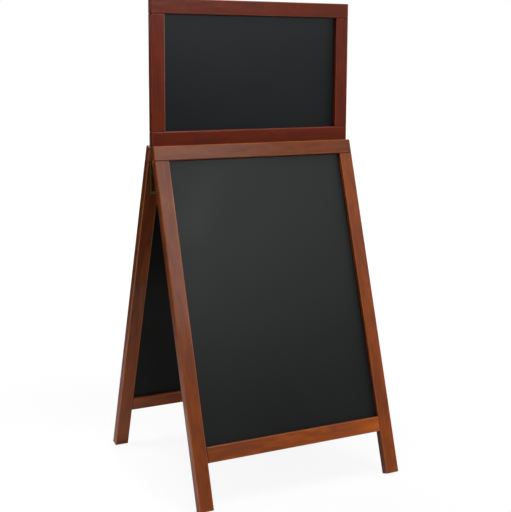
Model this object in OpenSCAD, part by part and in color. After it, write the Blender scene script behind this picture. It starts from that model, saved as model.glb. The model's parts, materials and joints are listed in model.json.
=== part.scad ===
// Folding pavement chalkboard: two framed boards hinged at the top stand as an A,
// and a header board stands on top of them, held in the middle by two hinge straps.
// X runs across the boards, the front faces -Y and Z is up.
// The origin is on the floor, at the middle of the footprint.

/* [Frames] */
// Width of each frame, over its stiles
frame_w = 550; // [400:5:900]
// Length of each leg, from its foot to the top of the frame
frame_l = 850; // [600:5:1300]
// Thickness of the frame timber
frame_t = 21; // [20:0.5:30]
// Width of the frame stiles, which run down to the floor as legs
stile_w = 36; // [36:0.5:60]
// Width of the frame and header top rails
top_rail_w = 35; // [35:0.5:60]
// Width of the frame and header bottom rails
bottom_rail_w = 36.5; // [35:0.5:60]
// Length of leg below the bottom rail
leg_below_rail = 106; // [60:1:200]
// Lean of each frame from the vertical, when open
lean = 17; // [14:0.5:20]
// Rounding of the timber edges
edge_r = 2.5; // [1:0.25:2.5]

/* [Chalkboards] */
// Thickness of a chalkboard panel
board_t = 4; // [3:0.5:5]
// Depth of the grooves that hold the panels
groove_depth = 8; // [5:0.5:8]
// Gap left in the grooves for the timber to move
groove_slack = 0.5; // [0.25:0.25:1.5]
// Distance of the frame panels behind the front of the timber
frame_recess = 10; // [6:0.5:11]

/* [Header] */
// Distance of the header's ends inside the frames' sides
header_inset = 2.5; // [2.5:0.5:5]
// Height of the header board
header_h = 346.5; // [200:0.5:500]
// Thickness of the header timber
header_t = 18; // [16:0.5:24]
// Width of the header stiles
header_stile_w = 35; // [35:0.5:60]
// Distance of the header panel behind the front of the timber
header_recess = 10.5; // [5:0.5:10.5]
// Gap between the header and the frame tops that it stands over
seat_gap = 0.3; // [0.2:0.1:1]

/* [Hinges] */
// Gap between the two frames at their top inner corners
top_gap = 1.65; // [1.65:0.05:3]
// Height of the top inner corners above the pin axis
pin_drop = 5; // [5:0.25:7]
// Diameter of the hinge pins
pin_d = 2.8; // [2.4:0.1:2.8]
// Diameter of the hinge knuckles
knuckle_d = 5.4; // [5:0.1:5.4]
// Length of one knuckle
knuckle_w = 5.8; // [4:0.1:5.8]
// Gap between neighbouring knuckles
knuckle_gap = 0.3; // [0.2:0.05:0.5]
// Thickness of the hinge leaves
leaf_t = 1.5; // [1:0.1:1.6]
// Length of a leaf below the pin axis
leaf_l = 66.5; // [66:0.5:80]
// Width of the header straps
strap_w = 14; // [12:0.5:14]
// Distance that the straps' outer edges stand out from the header's ends
strap_proud = 1; // [0:0.25:1.5]
// Thickness of the header straps
strap_t = 2.5; // [2:0.1:2.5]
// Length of the strap tail below the pin axis
strap_tail = 108; // [80:1:140]
// Length of strap let into the header
strap_tongue = 30; // [28:1:34]

/* [Fasteners] */
// Diameter of the frame dowels
dowel_d = 6; // [5:0.5:6]
// Diameter of the header dowels
header_dowel_d = 8; // [6:0.5:8]
// Length of the dowels
dowel_l = 40; // [30:1:44]
// Diameter of the screw shanks
screw_d = 3; // [2.5:0.1:3]
// Diameter of the countersunk screw heads
screw_head_d = 6; // [5:0.1:6]
// Length of the screws
screw_l = 15; // [10:0.5:16]
// Diameter of the rivet heads at the strap ends
rivet_head_d = 7; // [6:0.1:8]
// Height of the rivet heads
rivet_head_h = 0.7; // [0.4:0.1:0.7]

/* [Hidden] */
$fn = 48;

wood = [0.46, 0.24, 0.15];
dark_wood = [0.38, 0.18, 0.11];
chalkboard_black = [0.16, 0.17, 0.17];
dowel_wood = [0.80, 0.66, 0.45];
brass = [0.62, 0.55, 0.34];

// The rounded inner foot edge rests on the floor, and the sharp corner would be below it.
foot_ease = edge_r * (sin(lean) + cos(lean) - 1);
foot_y = top_gap / 2 + frame_l * sin(lean);
top_z = frame_l * cos(lean) - foot_ease;

header_w = frame_w - 2 * header_inset;

// Sight openings of the frames and of the header
opening_w = frame_w - 2 * stile_w;
opening_low = leg_below_rail + bottom_rail_w;
opening_high = frame_l - top_rail_w;
header_opening_w = header_w - 2 * header_stile_w;
header_stile_l = header_h - top_rail_w - bottom_rail_w;
tongue = groove_depth - groove_slack;

// The pin axis, in the room and from the top inner corner of a leaning frame
pin_z = top_z - pin_drop;
pin_off = top_gap / 2 * cos(lean) + pin_drop * sin(lean);
pin_below_top = pin_drop * cos(lean) - top_gap / 2 * sin(lean);
pin_r = pin_d / 2;
running_r = pin_r + 0.08;
pocket_r = knuckle_d / 2 + 0.3;

// The header stands just clear of the two sloping frame tops.
header_z = top_z + (header_t / 2 - edge_r - top_gap / 2) * tan(lean)
    + edge_r * (1 / cos(lean) - 1) + seat_gap;

// Places along X, on the right half: the strap is outermost, then three knuckles
strap_out = header_w / 2 + strap_proud;
strap_x = strap_out - strap_w / 2;
leaf_out = strap_out - strap_w - knuckle_gap;
leaf_w = 3 * knuckle_w + 2 * knuckle_gap;
leaf_x = leaf_out - leaf_w / 2;
knuckle_pitch = knuckle_w + knuckle_gap;
leaf_root = sqrt(pow(knuckle_d / 2, 2) - pow(pin_off - leaf_t, 2)) + 0.6;
neck_root = pin_r + 0.4;
pin_head_d = 5;
pin_head_h = 1;
pin_head_gap = 0.2;

// Screw places: below the pin axis on a leaf, and above the header's lower edge on a strap
leaf_screws = [9, 21, 41, 57.5];
strap_screws = [9, 21];
screw_head_h = (screw_head_d - screw_d) / 2;
screw_tip_l = 4;
slot_w = 0.8;
slot_depth = 0.7;

// Dowel places, from the outer edge of a stile or from the lower edge of a rail
stile_dowels = [7, 19];
rail_dowels = [8, 21];
header_dowel_x = header_opening_w / 2 + groove_depth + header_dowel_d / 2 + 0.5;

// ---- placing ----

// From a frame's own axes, upright with its inner face at y = 0, to the open position
module front()
    translate([0, -foot_y, -foot_ease])
        rotate([-lean, 0, 0])
            children();

module rear()
    mirror([0, 1, 0])
        front()
            children();

module left()
    mirror([1, 0, 0])
        children();

module both_sides() {
    children();
    left() children();
}

// From the pin axis to a frame's own axes
module at_pin()
    translate([0, pin_off, frame_l - pin_below_top])
        children();

// From the header's own axes, with its front at y = -header_t, to its place
module header()
    translate([0, header_t / 2, header_z])
        children();

// ---- shared shapes ----

module rounded_rect(w, h) {
    square([w - 2 * edge_r, h], center = true);
    square([w, h - 2 * edge_r], center = true);
    for (x = [-1, 1], y = [-1, 1])
        translate([x * (w / 2 - edge_r), y * (h / 2 - edge_r)])
            circle(edge_r);
}

// A piece of timber with every edge rounded: centred on x, y from -t to 0, z from 0 to h
module timber(w, t, h)
    translate([0, -t / 2, h / 2])
        intersection() {
            linear_extrude(h, center = true)
                rounded_rect(w, t);
            rotate([90, 0, 0])
                linear_extrude(t, center = true)
                    rounded_rect(w, h);
            rotate([90, 0, 90])
                linear_extrude(w, center = true)
                    rounded_rect(t, h);
        }

// A box centred on x, with y from y_front to y_front + t and z from z_low to z_low + h
module slab(w, t, h, y_front, z_low)
    translate([-w / 2, y_front, z_low])
        cube([w, t, h]);

// A round bar along X, from x_low to x_high
module bar_x(r, x_low, x_high)
    translate([x_low, 0, 0])
        rotate([0, 90, 0])
            cylinder(r = r, h = x_high - x_low);

module dowel_z(d, x, y, z)
    translate([x, y, z - dowel_l / 2])
        cylinder(d = d, h = dowel_l);

// ---- fasteners ----

// A countersunk wood screw, with its head's face at z = 0 and its tip down
module screw_body() {
    translate([0, 0, -screw_head_h])
        cylinder(d1 = screw_d, d2 = screw_head_d, h = screw_head_h);
    translate([0, 0, screw_tip_l - screw_l])
        cylinder(d = screw_d, h = screw_l - screw_tip_l - screw_head_h);
    translate([0, 0, -screw_l])
        cylinder(d1 = 0.6, d2 = screw_d, h = screw_tip_l);
}

module wood_screw()
    difference() {
        screw_body();
        translate([-screw_head_d / 2, -slot_w / 2, -slot_depth])
            cube([screw_head_d, slot_w, 2 * slot_depth]);
    }

// Places of the leaf screws, heads towards +y, from the pin axis on the right side
module at_leaf_screws()
    for (s = leaf_screws)
        translate([leaf_x, leaf_t - pin_off, -s])
            rotate([-90, 0, 0])
                children();

// Places of the strap screws, heads towards +y, on the right side
module at_strap_screws()
    for (s = strap_screws)
        translate([strap_x, header_t / 2, header_z + s])
            rotate([-90, 0, 0])
                children();

module at_rivet()
    translate([strap_x, 0, pin_z - strap_tail + strap_w / 2])
        rotate([90, 0, 0])
            children();

module rivet() {
    cylinder(d = screw_d, h = strap_t, center = true);
    for (side = [0, 1])
        mirror([0, 0, side])
            translate([0, 0, strap_t / 2])
                cylinder(d1 = rivet_head_d, d2 = rivet_head_d - 4 * rivet_head_h, h = rivet_head_h);
}

// ---- frame pieces, in a frame's own axes ----

module frame_stile_dowels()
    for (x = stile_dowels)
        dowel_z(dowel_d, frame_w / 2 - x, -frame_t / 2, opening_high);

module frame_rail_dowels()
    for (z = rail_dowels)
        translate([0, -frame_t / 2, leg_below_rail + z])
            bar_x(dowel_d / 2, opening_w / 2 - dowel_l / 2, opening_w / 2 + dowel_l / 2);

// The round pocket in each top rail that clears the knuckles and the strap
module knuckle_pocket()
    at_pin()
        bar_x(pocket_r, leaf_out - leaf_w - knuckle_gap, frame_w / 2 + 1);

module frame_top_rail()
    difference() {
        translate([0, 0, opening_high])
            timber(frame_w, frame_t, top_rail_w);
        slab(opening_w + 2 * groove_depth, board_t, 2 * groove_depth,
            frame_recess - frame_t, opening_high - groove_depth);
        both_sides() {
            frame_stile_dowels();
            knuckle_pocket();
            at_pin() at_leaf_screws() screw_body();
        }
    }

module frame_bottom_rail()
    difference() {
        translate([0, 0, leg_below_rail])
            timber(opening_w, frame_t, bottom_rail_w);
        slab(opening_w + 2, board_t, 2 * groove_depth,
            frame_recess - frame_t, opening_low - groove_depth);
        both_sides() frame_rail_dowels();
    }

module frame_stile()
    difference() {
        translate([(frame_w - stile_w) / 2, 0, 0])
            timber(stile_w, frame_t, opening_high);
        slab(opening_w + 2 * groove_depth, board_t, opening_high,
            frame_recess - frame_t, opening_low - groove_depth);
        frame_stile_dowels();
        frame_rail_dowels();
        at_pin() at_leaf_screws() screw_body();
    }

module frame_board()
    slab(opening_w + 2 * tongue, board_t, opening_high - opening_low + 2 * tongue,
        frame_recess - frame_t, opening_low - tongue);

module frame_dowels()
    both_sides() {
        frame_stile_dowels();
        frame_rail_dowels();
    }

// ---- header pieces, in the header's own axes ----

module header_corner_dowels()
    for (z = [bottom_rail_w, bottom_rail_w + header_stile_l])
        dowel_z(header_dowel_d, header_dowel_x, -header_t / 2, z);

// The panel groove, grown from the sight opening by its depth
module header_groove()
    slab(header_opening_w + 2 * groove_depth, board_t, header_stile_l + 2 * groove_depth,
        header_recess - header_t, bottom_rail_w - groove_depth);

module header_rail(h, z)
    difference() {
        translate([0, 0, z])
            timber(header_w, header_t, h);
        header_groove();
        both_sides() header_corner_dowels();
    }

module header_stile()
    difference() {
        translate([(header_w - header_stile_w) / 2, 0, bottom_rail_w])
            timber(header_stile_w, header_t, header_stile_l);
        header_groove();
        header_corner_dowels();
    }

module header_board()
    slab(header_opening_w + 2 * tongue, board_t, header_stile_l + 2 * tongue,
        header_recess - header_t, bottom_rail_w - tongue);

// The slot for a strap, open at the rail's end and lower edge
module strap_slot()
    translate([strap_out - strap_w, -strap_t / 2, header_z - 1])
        cube([strap_w + 1, strap_t, strap_tongue + 1]);

// ---- hinge pieces, on the right side ----

// A leaf on the front frame, about the pin axis: own lists its knuckles from the outside in
module leaf(own, bore_r)
    difference() {
        union() {
            translate([0, leaf_t - pin_off, 0])
                rotate([90, 0, 0])
                    linear_extrude(leaf_t) {
                        translate([leaf_out - leaf_w, leaf_w / 2 - leaf_l])
                            square([leaf_w, leaf_l - leaf_w / 2 - leaf_root]);
                        translate([leaf_x, leaf_w / 2 - leaf_l])
                            circle(leaf_w / 2);
                        for (i = own)
                            translate([leaf_out - knuckle_w - i * knuckle_pitch, -leaf_root - 1])
                                square([knuckle_w, leaf_root + 1 - neck_root]);
                    }
            for (i = own)
                bar_x(knuckle_d / 2, leaf_out - knuckle_w - i * knuckle_pitch,
                    leaf_out - i * knuckle_pitch);
        }
        bar_x(bore_r, leaf_out - leaf_w - 1, leaf_out + 1);
        at_leaf_screws() screw_body();
    }

module front_leaf()
    color(brass)
        front()
            at_pin()
                leaf([0, 2], pin_r);

module rear_leaf()
    color(brass)
        rear()
            at_pin()
                leaf([1], running_r);

module hinge_pin()
    color(brass)
        translate([0, 0, pin_z]) {
            bar_x(pin_r, leaf_out - leaf_w, strap_out + pin_head_gap);
            bar_x(pin_head_d / 2, strap_out + pin_head_gap, strap_out + pin_head_gap + pin_head_h);
        }

module header_strap()
    color(brass)
        difference() {
            union() {
                translate([0, strap_t / 2, pin_z])
                    rotate([90, 0, 0])
                        linear_extrude(strap_t) {
                            translate([strap_x, strap_w / 2 - strap_tail])
                                circle(strap_w / 2);
                            translate([strap_out - strap_w, strap_w / 2 - strap_tail])
                                square([strap_w, strap_tail - strap_w / 2
                                    + header_z + strap_tongue - pin_z]);
                        }
                translate([0, 0, pin_z])
                    bar_x(knuckle_d / 2, strap_out - strap_w, strap_out);
            }
            translate([0, 0, pin_z])
                bar_x(running_r, strap_out - strap_w - 1, strap_out + 1);
            at_rivet()
                cylinder(d = screw_d, h = strap_t + 1, center = true);
            at_strap_screws() screw_body();
        }

// ---- nodes ----

module front_top_rail() color(wood) front() frame_top_rail();
module front_bottom_rail() color(wood) front() frame_bottom_rail();
module front_left_stile() color(wood) front() left() frame_stile();
module front_right_stile() color(wood) front() frame_stile();
module front_chalkboard() color(chalkboard_black) front() frame_board();
module front_dowels() color(dowel_wood) front() frame_dowels();

module rear_top_rail() color(wood) rear() frame_top_rail();
module rear_bottom_rail() color(wood) rear() frame_bottom_rail();
module rear_left_stile() color(wood) rear() left() frame_stile();
module rear_right_stile() color(wood) rear() frame_stile();
module rear_chalkboard() color(chalkboard_black) rear() frame_board();
module rear_dowels() color(dowel_wood) rear() frame_dowels();

module header_top_rail()
    color(dark_wood)
        header()
            header_rail(top_rail_w, header_h - top_rail_w);

module header_bottom_rail()
    color(dark_wood)
        difference() {
            header() header_rail(bottom_rail_w, 0);
            both_sides() {
                strap_slot();
                at_strap_screws() screw_body();
            }
        }

module header_left_stile() color(dark_wood) header() left() header_stile();
module header_right_stile() color(dark_wood) header() header_stile();
module header_chalkboard() color(chalkboard_black) header() header_board();
module header_dowels() color(dowel_wood) header() both_sides() header_corner_dowels();

module left_front_leaf() left() front_leaf();
module right_front_leaf() front_leaf();
module left_rear_leaf() left() rear_leaf();
module right_rear_leaf() rear_leaf();
module left_hinge_pin() left() hinge_pin();
module right_hinge_pin() hinge_pin();
module left_header_strap() left() header_strap();
module right_header_strap() header_strap();

module front_leaf_screws() color(brass) both_sides() front() at_pin() at_leaf_screws() wood_screw();
module rear_leaf_screws() color(brass) both_sides() rear() at_pin() at_leaf_screws() wood_screw();
module header_strap_screws() color(brass) both_sides() at_strap_screws() wood_screw();
module strap_end_rivets() color(brass) both_sides() at_rivet() rivet();

front_top_rail();
front_bottom_rail();
front_left_stile();
front_right_stile();
front_chalkboard();
front_dowels();
rear_top_rail();
rear_bottom_rail();
rear_left_stile();
rear_right_stile();
rear_chalkboard();
rear_dowels();
header_top_rail();
header_bottom_rail();
header_left_stile();
header_right_stile();
header_chalkboard();
header_dowels();
left_front_leaf();
right_front_leaf();
left_rear_leaf();
right_rear_leaf();
left_hinge_pin();
right_hinge_pin();
left_header_strap();
right_header_strap();
front_leaf_screws();
rear_leaf_screws();
header_strap_screws();
strap_end_rivets();
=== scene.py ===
import json
import math

import bpy
from mathutils import Matrix, Vector


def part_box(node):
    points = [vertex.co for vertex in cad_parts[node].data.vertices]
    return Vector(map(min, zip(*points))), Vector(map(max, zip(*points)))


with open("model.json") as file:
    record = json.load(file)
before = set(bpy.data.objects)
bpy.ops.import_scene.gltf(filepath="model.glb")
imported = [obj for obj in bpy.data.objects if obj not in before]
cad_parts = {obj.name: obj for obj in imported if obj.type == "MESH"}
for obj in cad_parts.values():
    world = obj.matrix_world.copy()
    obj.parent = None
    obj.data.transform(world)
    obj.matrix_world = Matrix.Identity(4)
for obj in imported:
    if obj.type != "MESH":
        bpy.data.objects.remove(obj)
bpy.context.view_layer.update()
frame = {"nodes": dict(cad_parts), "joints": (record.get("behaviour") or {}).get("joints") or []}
NODES = frame["nodes"]

FOLD = next(joint for joint in frame["joints"] if joint["name"] == "fold")
LEAN = math.radians(FOLD["range_deg"][1] / 2)
GRAIN_X = Vector((1, 0, 0))

# Growth rings: radians of phase for each metre from the pith, and radians that they wander by
RING_PHASE = 1150.0
RING_RAGGEDNESS = 4.0

# Metres in from the side at which a shade begins, and at which it is full: rubbed edges with a painted
# highlight, the dark stain in joints, and the painted highlight on the rim of a strap
ARRIS_START, ARRIS_END = 0.0034, 0.0006
JOINT_START, JOINT_END = 0.0022, 0.0006
RIM_START, RIM_END = 0.0018, 0.0008
BRASS_SOFTENING = 0.0004

FLOOR_HALF_SIDE = 30.0

# The camera fitted to the photograph. Its centre is held at row 225 and not at the best fit, row
# 191, because the larger shift would cut the object off in other views
PICTURE_PX = 512
FOCAL_PX = 1105.427
CENTRE_SHIFT_PX = -31
SENSOR_MM = 36

# Each timber: its stain, its place in the log, and how light it is at its left or lower end and
# at its right or upper end, its own tone together with painted light and shade along its length
TIMBER = {
    "front_top_rail": ("frame_timber", 0.0, 0.75, 0.74),
    "front_bottom_rail": ("frame_timber", 1.7, 1.0, 1.6),
    "front_left_stile": ("frame_timber", 3.1, 1.06, 0.80),
    "front_right_stile": ("frame_timber", 4.9, 1.10, 1.12),
    "rear_top_rail": ("frame_timber", 6.3, 1.0, 0.95),
    "rear_bottom_rail": ("frame_timber", 7.7, 0.92, 1.0),
    "rear_left_stile": ("frame_timber", 9.2, 0.86, 0.64),
    "rear_right_stile": ("frame_timber", 10.6, 1.0, 1.0),
    "header_top_rail": ("header_timber", 12.4, 1.16, 1.0),
    "header_bottom_rail": ("header_timber", 13.8, 0.98, 0.98),
    "header_left_stile": ("header_timber", 15.5, 1.02, 1.16),
    "header_right_stile": ("header_timber", 17.1, 1.0, 1.0),
}
OPEN_ENDED = ["front_top_rail", "rear_top_rail", "header_top_rail", "header_bottom_rail"]

# Each board: its place in the cloud of chalk dust, how pale it is, how shiny, and its sheen's tint
BOARDS = {
    "front_chalkboard": (0.0, 1.0, 0.46, (0.98, 1.0, 1.0)),
    "rear_chalkboard": (2.3, 0.5, 0.30, (1.0, 0.98, 0.96)),
    "header_chalkboard": (5.1, 0.9, 0.60, (0.92, 0.97, 1.0)),
}
DOWELS = ["front_dowels", "rear_dowels", "header_dowels"]

# Each brass piece, and how dull it has gone
BRASS = {
    "left_front_leaf": 0.5, "right_front_leaf": 0.5,
    "left_rear_leaf": 0.6, "right_rear_leaf": 0.6,
    "left_header_strap": 0.9, "right_header_strap": 0.9,
    "left_hinge_pin": 0.2, "right_hinge_pin": 0.2,
    "front_leaf_screws": 0.1, "rear_leaf_screws": 0.1,
    "header_strap_screws": 0.2, "strap_end_rivets": 0.0,
}

# Stains, from the dark lines of the grain to its light bands
STAINS = {
    "frame_timber": [(0.170, 0.028, 0.003), (0.290, 0.058, 0.007), (0.370, 0.090, 0.014)],
    "header_timber": [(0.115, 0.011, 0.002), (0.190, 0.024, 0.004), (0.235, 0.034, 0.007)],
}

# The redder colour of the blotches, and how much they lighten and darken the tone
ROSY = {"frame_timber": (0.290, 0.060, 0.017), "header_timber": (0.185, 0.022, 0.008)}
MOTTLE = {"frame_timber": 0.26, "header_timber": 0.14}


# ---- node helpers ----

class Tree:
    """A material's nodes, made and joined in one line each."""

    def __init__(self, name):
        self.material = bpy.data.materials.new(name)
        self.material.use_nodes = True
        self.nodes = self.material.node_tree.nodes
        self.links = self.material.node_tree.links
        self.nodes.clear()
        self.out = self.nodes.new("ShaderNodeOutputMaterial")

    def add(self, kind, inputs=None, **settings):
        made = self.nodes.new("ShaderNode" + kind)
        for key, value in settings.items():
            setattr(made, key, value)
        for key, value in (inputs or {}).items():
            self.put(made.inputs[key], value)
        return made

    def put(self, socket, value):
        if isinstance(value, bpy.types.NodeSocket):
            self.links.new(value, socket)
        else:
            socket.default_value = value

    def math(self, operation, a, b=0.0, clamp=False):
        made = self.add("Math", operation=operation, use_clamp=clamp)
        self.put(made.inputs[0], a)
        self.put(made.inputs[1], b)
        return made.outputs[0]

    def stretch(self, vector, scale):
        made = self.add("VectorMath", operation="MULTIPLY")
        self.put(made.inputs[0], vector)
        made.inputs[1].default_value = scale
        return made.outputs[0]

    def noise(self, vector, scale, detail=2.0, rough=0.5, distortion=0.0, color=False):
        made = self.add("TexNoise", {"Vector": vector, "Scale": scale, "Detail": detail,
                                     "Roughness": rough, "Distortion": distortion})
        return made.outputs["Color" if color else "Fac"]

    def grey(self, value):
        return self.add("CombineXYZ", {"X": value, "Y": value, "Z": value}).outputs[0]

    def ramp(self, value, low, high, out_low=0.0, out_high=1.0):
        made = self.add("MapRange", {"Value": value, "From Min": low, "From Max": high,
                                     "To Min": out_low, "To Max": out_high})
        return made.outputs[0]

    def mix(self, factor, a, b, blend="MIX"):
        made = self.add("Mix", data_type="RGBA", blend_type=blend, clamp_factor=True)
        self.put(made.inputs[0], factor)
        self.put(made.inputs[6], a if isinstance(a, bpy.types.NodeSocket) else (*a, 1))
        self.put(made.inputs[7], b if isinstance(b, bpy.types.NodeSocket) else (*b, 1))
        return made.outputs[2]

    def bump(self, height, distance, strength=1.0, normal=None):
        made = self.add("Bump", {"Height": height, "Distance": distance, "Strength": strength})
        if normal is not None:
            self.put(made.inputs["Normal"], normal)
        return made.outputs[0]

    def shader(self, **values):
        made = self.add("BsdfPrincipled")
        for key, value in values.items():
            self.put(made.inputs[key.replace("_", " ")], value)
        self.links.new(made.outputs[0], self.out.inputs[0])
        return self.material


def dress(name, material):
    for slot in NODES[name].material_slots:
        slot.material = material


def soften(name):
    """Rounds a node's sharp edges a little, so that they catch the light."""
    bevel = NODES[name].modifiers.new("soften", "BEVEL")
    bevel.width = BRASS_SOFTENING
    bevel.segments = 2
    bevel.limit_method = "ANGLE"
    bevel.angle_limit = math.radians(35)


# ---- timber ----

def grain_of(name):
    """A timber's own directions: along its grain, across its face, and through its thickness."""
    lean = {"front": LEAN, "rear": -LEAN, "header": 0.0}[name.split("_")[0]]
    up = Vector((0, math.sin(lean), math.cos(lean)))
    if "rail" in name:
        return GRAIN_X, up, GRAIN_X.cross(up)
    return up, GRAIN_X, up.cross(GRAIN_X)


def own_size(name, turn):
    """A timber's middle and half size in its own directions."""
    corners = [turn @ v.co for v in NODES[name].data.vertices]
    low = Vector([min(c[i] for c in corners) for i in range(3)])
    high = Vector([max(c[i] for c in corners) for i in range(3)])
    return (low + high) / 2, (high - low) / 2


def arris(t, split, half, open_ended):
    """1 along a timber's edges, 0 a few millimetres away. An end in a joint has none."""
    near = []
    for i in range(3):
        out = t.math("ABSOLUTE", split.outputs[i])
        near.append(t.ramp(out, half[i] - ARRIS_START, half[i] - ARRIS_END))
    edge = t.math("MULTIPLY", near[1], near[2])
    if open_ended:
        edge = t.math("MAXIMUM", edge, t.math("MULTIPLY", near[0], near[1]))
        edge = t.math("MAXIMUM", edge, t.math("MULTIPLY", near[0], near[2]))
    return edge


def timber_material(name):
    slot, place, low_end_tone_and_light, high_end_tone_and_light = TIMBER[name]
    along, across, through = grain_of(name)
    turn = Matrix((along, across, through))
    middle, half = own_size(name, turn)
    t = Tree("timber_" + name)
    coords = t.add("TexCoord")

    # The timber's own axes, then the place in the log that it was sawn from
    centred = t.add("Mapping", {"Vector": coords.outputs["Object"], "Location": -middle,
                                "Rotation": turn.to_euler()}).outputs[0]
    log = (place, 0.016 * math.sin(place * 5.3), 0.026 + 0.006 * math.cos(place * 3.1))
    sawn = t.add("Mapping", {"Vector": centred, "Location": log}).outputs[0]
    split = t.add("SeparateXYZ", {0: centred})
    wander = t.noise(t.stretch(sawn, (2.2, 8, 8)), 1.0, 2.0, color=True)
    wander = t.add("VectorMath", {0: wander, 1: (0.5, 0.5, 0.5)}, operation="SUBTRACT").outputs[0]
    bend = t.stretch(wander, (0, 0.030, 0.030))
    wood = t.add("VectorMath", {0: sawn, 1: bend}, operation="ADD").outputs[0]

    # Growth rings about the pith, broad colour bands, fine streaks and pores
    flat = t.stretch(wood, (0.0, 1, 1))
    radius = t.add("VectorMath", {0: flat}, operation="LENGTH").outputs["Value"]
    ragged = t.noise(t.stretch(wood, (9, 150, 150)), 1.0, 2.0)
    phase = t.math("ADD", t.math("MULTIPLY", radius, RING_PHASE),
                   t.math("MULTIPLY", ragged, RING_RAGGEDNESS))
    rings = t.ramp(t.math("SINE", phase), -1.0, 1.0)
    bands = t.noise(t.stretch(wood, (1.4, 55, 55)), 1.0, 3.0, 0.55)
    streaks = t.noise(t.stretch(wood, (5.0, 330, 330)), 1.0, 3.0, 0.6)
    pores = t.noise(t.stretch(wood, (75, 1500, 1500)), 1.0, 1.0, 0.5)
    blotch = t.noise(t.stretch(sawn, (13, 38, 38)), 1.0, 3.0, 0.58, 0.6)

    dark, mid, light = STAINS[slot]
    figure = t.math("ADD", t.math("MULTIPLY", rings, 0.22), t.math("MULTIPLY", bands, 0.95))
    colour = t.mix(t.ramp(figure, 0.34, 0.86), mid, light)
    colour = t.mix(t.ramp(streaks, 0.50, 0.74, 0.0, 0.30), colour, dark)
    pored = t.ramp(pores, 0.60, 0.74, 0.0, 0.4)
    colour = t.mix(pored, colour, dark)
    colour = t.mix(t.ramp(blotch, 0.44, 0.68, 0.0, 0.8), colour, ROSY[slot])
    # Painted light and shade: each timber lighter or darker from one end to the other, on top of its
    # own tone
    tone_and_painted_light = t.ramp(split.outputs[0], -half[0], half[0], low_end_tone_and_light, high_end_tone_and_light)
    mottled = t.ramp(blotch, 0.28, 0.72, 1 + MOTTLE[slot], 1 - MOTTLE[slot])
    patchy = t.math("MULTIPLY", tone_and_painted_light, mottled)
    colour = t.mix(1.0, colour, t.grey(patchy), "MULTIPLY")

    # The stain is rubbed thin on the arrises, and the lighter colour there is also a painted highlight
    edge = arris(t, split, half, name in OPEN_ENDED)
    rubbed_and_highlit = t.math("MULTIPLY", edge, t.ramp(ragged, 0.3, 0.65, 0.35, 0.9))
    colour = t.mix(rubbed_and_highlit, colour, [c * 1.45 + 0.025 for c in light])

    # Stain lies dark in the joints
    if name not in OPEN_ENDED:
        out = t.math("ABSOLUTE", split.outputs[0])
        butt = t.ramp(out, half[0] - JOINT_START, half[0] - JOINT_END)
        colour = t.mix(t.math("MULTIPLY", butt, 0.8), colour, [c * 0.4 for c in dark])

    # End grain drinks more stain
    facing = t.add("VectorMath", {0: coords.outputs["Normal"], 1: along}, operation="DOT_PRODUCT")
    end = t.ramp(t.math("ABSOLUTE", facing.outputs["Value"]), 0.80, 0.97)
    colour = t.mix(t.math("MULTIPLY", end, 0.4), colour, dark)

    # Painted shade on the faces about the board, which sit in the recess
    inward = -across if "top_rail" in name or "right" in name else across
    facing = t.add("VectorMath", {0: coords.outputs["Normal"], 1: inward}, operation="DOT_PRODUCT")
    recess_shade = t.ramp(facing.outputs["Value"], 0.7, 0.95, 1.0, 0.55)
    colour = t.mix(1.0, colour, t.grey(recess_shade), "MULTIPLY")

    rough = t.ramp(blotch, 0.3, 0.7, 0.33, 0.43)
    rough = t.math("ADD", rough, t.math("MULTIPLY", end, 0.2))
    height = t.math("ADD", t.math("MULTIPLY", pored, -0.5), t.math("MULTIPLY", streaks, 0.5))
    brushed = t.bump(t.noise(t.stretch(sawn, (14, 70, 70)), 1.0, 2.0), 0.0005, 0.5)
    normal = t.bump(height, 0.00012, 0.6, brushed)
    return t.shader(Base_Color=colour, Roughness=rough, Normal=normal, Coat_Normal=brushed,
                    Specular_IOR_Level=0.3, Coat_Weight=0.35, Coat_Roughness=0.16)


# ---- chalkboard ----

def board_material(name):
    place, pale, shine, tint = BOARDS[name]
    lean = {"front": LEAN, "rear": -LEAN, "header": 0.0}[name.split("_")[0]]
    t = Tree("slate_" + name)
    coords = t.add("TexCoord").outputs["Object"]
    own = t.add("Mapping", {"Vector": coords, "Location": (place, 0, place * 0.7),
                            "Rotation": (-lean, 0, 0)}).outputs[0]
    cloud = t.noise(t.stretch(own, (3.0, 3.0, 2.2)), 1.0, 4.0, 0.6, 0.6)
    wiped = t.add("Mapping", {"Vector": own, "Rotation": (0, 0.5, 0), "Scale": (4, 4, 30)}).outputs[0]
    wipes = t.noise(wiped, 1.0, 3.0, 0.55, 0.3)
    grit = t.noise(own, 1500.0, 1.0)
    dust = t.math("MULTIPLY", t.ramp(cloud, 0.4, 0.75), t.ramp(wipes, 0.35, 0.7, 0.3, 1.0))
    slate = t.mix(t.ramp(cloud, 0.35, 0.65), (0.0056, 0.0056, 0.0054), (0.0048, 0.0058, 0.0068))
    colour = t.mix(t.math("MULTIPLY", dust, 0.25), slate, (0.012, 0.013, 0.0135))
    colour = t.mix(1.0, colour, (pale, pale, pale), "MULTIPLY")
    rough = t.ramp(cloud, 0.3, 0.7, 0.36, 0.44)
    return t.shader(Base_Color=colour, Roughness=rough, Normal=t.bump(grit, 0.00005, 0.3),
                    Specular_IOR_Level=shine, Specular_Tint=(*tint, 1))


# ---- brass and dowels ----

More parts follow.
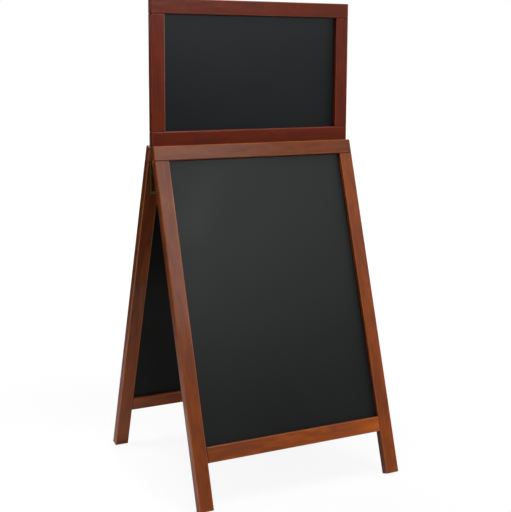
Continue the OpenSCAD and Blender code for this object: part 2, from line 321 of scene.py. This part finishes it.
def brass_material(name, place):
    dull = BRASS[name]
    t = Tree("brass_" + name)
    coords = t.add("TexCoord").outputs["Object"]
    own = t.add("Mapping", {"Vector": coords, "Location": (place, place * 0.6, 0)}).outputs[0]
    tarnish = t.noise(own, 160.0, 4.0, 0.62, 0.4)
    spots = t.noise(own, 900.0, 2.0, 0.5)
    brushed = t.noise(t.stretch(own, (1, 1, 0.05)), 2500.0, 1.0)
    bright = [a + (b - a) * dull for a, b in zip((0.62, 0.52, 0.28), (0.17, 0.15, 0.055))]
    colour = t.mix(t.ramp(tarnish, 0.35, 0.68), bright, [c * 0.45 for c in bright])
    if "strap" in name and "header" in name:
        # Painted highlight: the strap's side edges are made bright brass
        low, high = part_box(name)
        out = t.math("SUBTRACT", t.add("SeparateXYZ", {0: coords}).outputs[0], (low.x + high.x) / 2)
        reach = (high.x - low.x) / 2
        rim_highlight = t.ramp(t.math("ABSOLUTE", out), reach - RIM_START, reach - RIM_END, 0.0, 0.9)
        colour = t.mix(rim_highlight, colour, (0.62, 0.50, 0.26))
    colour = t.mix(t.ramp(spots, 0.64, 0.76, 0.0, 0.7), colour, (0.045, 0.034, 0.018))
    rough = t.ramp(tarnish, 0.3, 0.7, 0.26, 0.46)
    return t.shader(Base_Color=colour, Roughness=rough, Metallic=0.9,
                    Normal=t.bump(brushed, 0.00003, 0.5))


def dowel_material():
    t = Tree("beech_dowel")
    coords = t.add("TexCoord").outputs["Object"]
    fine = t.noise(t.stretch(coords, (40, 900, 900)), 1.0, 3.0)
    flecks = t.noise(coords, 1200.0, 1.0)
    colour = t.mix(t.ramp(fine, 0.35, 0.65), (0.52, 0.34, 0.18), (0.66, 0.47, 0.28))
    colour = t.mix(t.ramp(flecks, 0.62, 0.72, 0.0, 0.6), colour, (0.36, 0.21, 0.10))
    return t.shader(Base_Color=colour, Roughness=t.ramp(fine, 0.3, 0.7, 0.5, 0.65),
                    Normal=t.bump(fine, 0.0002, 0.5))


for piece in TIMBER:
    dress(piece, timber_material(piece))
for piece in BOARDS:
    dress(piece, board_material(piece))
for number, piece in enumerate(BRASS):
    dress(piece, brass_material(piece, 0.7 * number))
    soften(piece)
beech = dowel_material()
for piece in DOWELS:
    dress(piece, beech)


# ---- stage ----

def studio_floor():
    mesh = bpy.data.meshes.new("floor")
    side = FLOOR_HALF_SIDE
    mesh.from_pydata([(-side, -side, 0), (side, -side, 0), (side, side, 0), (-side, side, 0)],
                     [], [(0, 1, 2, 3)])
    floor = bpy.data.objects.new("floor", mesh)
    bpy.context.scene.collection.objects.link(floor)
    t = Tree("floor_paper")
    seen = t.add("LightPath").outputs["Is Camera Ray"]
    place = t.add("TexCoord").outputs["Object"]
    away = t.add("VectorMath", {0: place}, operation="LENGTH").outputs["Value"]
    # Painted pool of light on the paper: pale near the object and painted dark farther off; camera rays
    # see mostly the even white glow
    paper = t.add("BsdfDiffuse", {"Color": t.grey(t.ramp(away, 1.2, 2.0, 0.85, 0.1))})
    glow = t.add("Emission", {"Color": (1, 1, 1, 1), "Strength": 1.09})
    blend = t.add("MixShader", {0: t.math("MULTIPLY", seen, t.ramp(away, 0.6, 2.2, 0.82, 1.0)),
                                1: paper.outputs[0], 2: glow.outputs[0]})
    t.links.new(blend.outputs[0], t.out.inputs[0])
    floor.data.materials.append(t.material)


def studio_world(strength):
    world = bpy.data.worlds.new("studio")
    bpy.context.scene.world = world
    world.use_nodes = True
    nodes, links = world.node_tree.nodes, world.node_tree.links
    nodes.clear()
    seen = nodes.new("ShaderNodeLightPath").outputs["Is Camera Ray"]
    lit = nodes.new("ShaderNodeBackground")
    lit.inputs[0].default_value = (1, 1, 1, 1)
    lit.inputs[1].default_value = strength
    white = nodes.new("ShaderNodeBackground")
    white.inputs[0].default_value = (1, 1, 1, 1)
    both = nodes.new("ShaderNodeMixShader")
    out = nodes.new("ShaderNodeOutputWorld")
    links.new(seen, both.inputs[0])
    links.new(lit.outputs[0], both.inputs[1])
    links.new(white.outputs[0], both.inputs[2])
    links.new(both.outputs[0], out.inputs[0])


def softbox(name, place, target, size, power, spread=180):
    light = bpy.data.lights.new(name, "AREA")
    light.shape = "RECTANGLE"
    light.size, light.size_y = size
    light.energy = power
    light.spread = math.radians(spread)
    holder = bpy.data.objects.new(name, light)
    bpy.context.scene.collection.objects.link(holder)
    holder.location = place
    aim = Vector(target) - Vector(place)
    holder.rotation_euler = aim.to_track_quat("-Z", "Y").to_euler()
    holder.visible_camera = False


studio_floor()
studio_world(0.015)
softbox("top", (0.0, -0.6, 3.2), (0, 0, 0.5), (1.6, 1.6), 40)
softbox("right", (2.8, -0.6, 1.4), (0, 0, 0.6), (1.6, 1.6), 26)
softbox("right_front", (2.6, -1.7, 1.7), (0, 0, 0.6), (1.4, 1.4), 6.5)
softbox("window", (1.0, -2.9, 2.0), (0, 0, 0.8), (1.25, 1.25), 13)
softbox("back", (0.8, 2.3, 2.5), (0, 0, 0.7), (1.4, 1.4), 14)
softbox("left", (-2.8, 0.2, 1.4), (0, 0, 0.6), (1.6, 1.6), 0.5)
softbox("low_left", (-1.1, -0.7, 0.15), (-0.25, 0.05, 0.0), (0.6, 0.25), 1.0)
softbox("floor_left", (-0.85, 0.25, 1.1), (-0.62, 0.1, 0), (0.4, 0.4), 1.1, 60)
softbox("left_high", (-2.2, -0.3, 1.7), (-0.27, 0, 1.0), (0.5, 0.5), 0.35, 30)
softbox("far_wall", (-2.2, 3.4, 1.6), (-0.27, 0, 1.0), (1.6, 0.9), 2)


# ---- camera ----

def studio_camera():
    """The photograph's view: 29 degrees round from the front, a little above the header's middle."""
    yaw, pitch, roll = (math.radians(a) for a in (28.641, 8.691, 0.284))
    ahead = Vector((math.sin(yaw) * math.cos(pitch), math.cos(yaw) * math.cos(pitch), -math.sin(pitch)))
    level = Vector((math.cos(yaw), -math.sin(yaw), 0))
    upward = level.cross(ahead)
    right = math.cos(roll) * level + math.sin(roll) * upward
    above = math.cos(roll) * upward - math.sin(roll) * level
    camera = bpy.data.objects.new("camera", bpy.data.cameras.new("camera"))
    bpy.context.scene.collection.objects.link(camera)
    turn = Matrix((right, above, -ahead)).transposed().to_4x4()
    camera.matrix_world = Matrix.Translation((-1.30549, -2.41037, 1.02906)) @ turn
    camera.data.sensor_width = SENSOR_MM
    camera.data.lens = FOCAL_PX / PICTURE_PX * SENSOR_MM
    camera.data.shift_y = CENTRE_SHIFT_PX / PICTURE_PX
    camera.data.clip_end = 200
    bpy.context.scene.camera = camera


studio_camera()
bpy.context.scene.view_settings.view_transform = "Standard"
